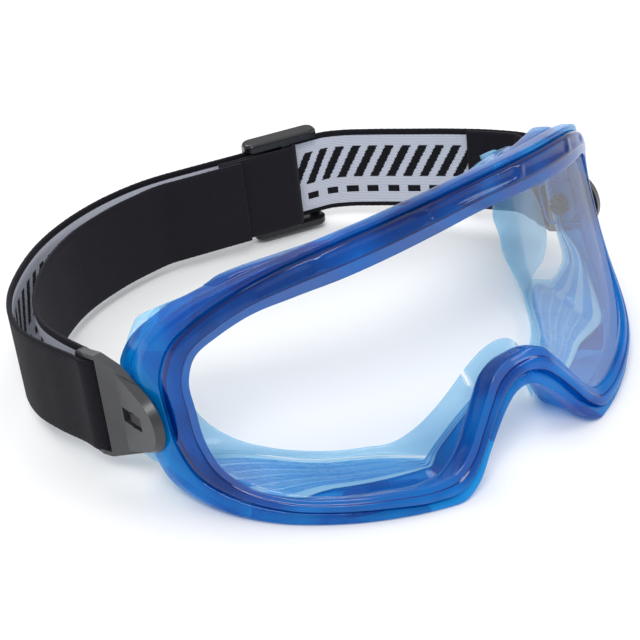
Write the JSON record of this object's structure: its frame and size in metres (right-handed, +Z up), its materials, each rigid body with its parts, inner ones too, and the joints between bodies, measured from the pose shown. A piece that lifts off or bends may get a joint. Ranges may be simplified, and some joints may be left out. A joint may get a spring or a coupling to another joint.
{
  "type": "safety goggles",
  "caption": "Indirect-vent safety goggles: clear wraparound lens in a translucent blue frame with a soft face seal, swivel side clips and an adjustable elastic head strap.",
  "frame": {"origin": "middle of the whole object's footprint, on the table it rests on", "axes": "+X to the wearer's left, along the width; +Y from the lens back to the head strap; +Z up from the table, with the goggles leaning back 20.4 degrees as they rest"},
  "size_m": [0.1916, 0.172, 0.082],
  "materials": {
    "rim": "glossy translucent",
    "skirt": "glossy translucent",
    "seal": "satin translucent",
    "lens": "clear polished polycarbonate",
    "clip": "satin",
    "pin": "semi-gloss",
    "strap": "woven elastic",
    "buckle": "semi-gloss",
    "thread": "matt"
  },
  "bodies": {
    "goggle": {"front_rim": "rim", "lens": "lens", "skirt": "skirt", "top_vent_cover": "skirt", "seal_wall": "seal", "seal_flange": "seal", "nose_flap": "seal"},
    "strap": {"clip_right": "clip", "pin_right": "pin", "strap_fold_right": "strap", "strap_outer_run": "strap", "strap_track": "strap", "strap_far_run": "strap", "strap_fold_left": "strap", "strap_tail": "strap", "strap_inner_run": "strap", "strap_lap": "strap", "tail_stitching": "thread"},
    "left_clip": {"clip_left": "clip", "pin_left": "pin"},
    "buckle": {"buckle": "buckle", "strap_sewn_end": "strap", "end_stitching": "thread"}
  },
  "joints": [
    {"name": "right_clip_swivel", "type": "hinge", "parent": "goggle", "child": "strap", "pos_m": [0.00131, -0.01762, 0.02534], "axis": [1, 0, 0], "range_deg": [-30, 90]},
    {"name": "left_clip_swivel", "type": "hinge", "parent": "goggle", "child": "left_clip", "pos_m": [0.00131, -0.01762, 0.02534], "axis": [1, 0, 0], "range_deg": [-30, 90]},
    {"name": "buckle_slide", "type": "slide", "parent": "strap", "child": "buckle", "axis": [-0.9598, 0.2801, -0.0174], "range_m": [0, 0.015]}
  ],
  "couplings": [
    {"joint": "left_clip_swivel", "follows": "right_clip_swivel", "ratio": 1}
  ]
}
